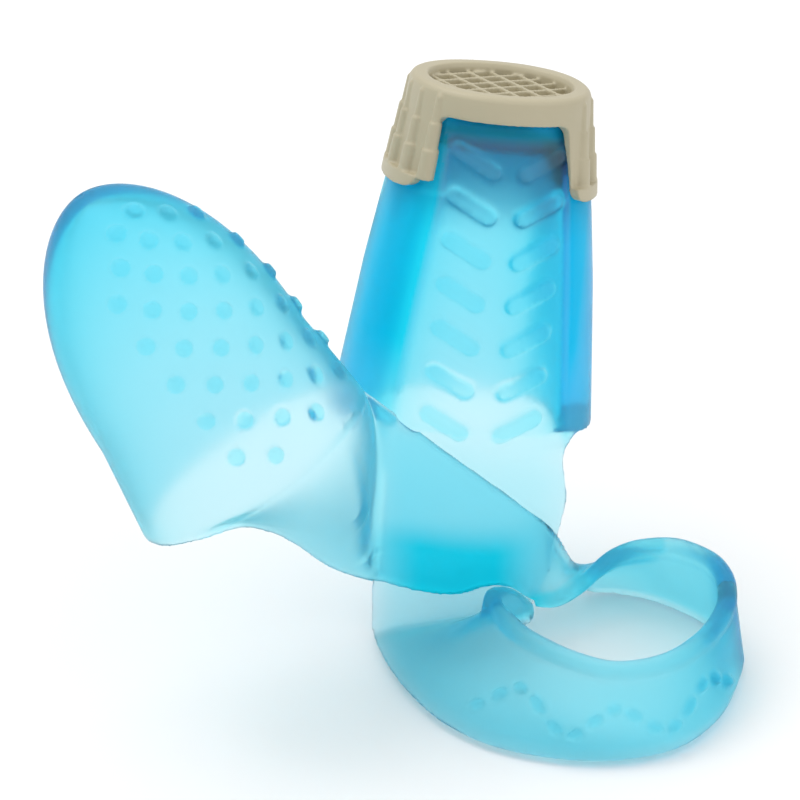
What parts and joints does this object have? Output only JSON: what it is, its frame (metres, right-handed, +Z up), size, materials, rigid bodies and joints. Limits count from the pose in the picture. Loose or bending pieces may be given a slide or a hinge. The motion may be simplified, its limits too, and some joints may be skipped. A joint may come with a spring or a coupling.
{
  "type": "sewing thimble",
  "caption": "Soft translucent finger-and-thumb sewing thimble: finger stall with hard dimpled tip cap, dotted thumb stall, twisted web and finger ring in one moulding.",
  "frame": {"origin": "floor level, at the middle of the whole part's footprint", "axes": "X runs from the thumb stall to the ring, Y from the front (the pads' side) to the back, Z up from the ring's foot"},
  "size_m": [0.064, 0.0459, 0.0535],
  "materials": {
    "silicone": "soft translucent sky-blue silicone, satin",
    "hard_cap": "opaque beige moulded plastic, satin"
  },
  "bodies": {
    "ring": {"ring_band": "silicone", "ring_lip": "silicone", "strap_root": "silicone", "thumb_web": "silicone"},
    "finger": {"finger_stall": "silicone", "finger_grip_bars": "silicone", "finger_strap": "silicone", "tip_cap": "hard_cap", "needle_grid": "hard_cap"},
    "thumb": {"thumb_stall": "silicone", "thumb_grip_dots": "silicone", "thumb_gusset": "silicone"}
  },
  "joints": [
    {"name": "finger_flex", "type": "hinge", "parent": "ring", "child": "finger", "pos_m": [0.00909, -0.00017, 0.01505], "axis": [0.7198, 0.02, -0.6938], "range_deg": [-20, 20], "stiffness_Nm_per_rad": 0.02},
    {"name": "thumb_flex", "type": "hinge", "parent": "ring", "child": "thumb", "pos_m": [-0.00251, -0.00247, 0.017], "axis": [0.043, -0.05, 0.9978], "range_deg": [-10, 30], "stiffness_Nm_per_rad": 0.02}
  ]
}
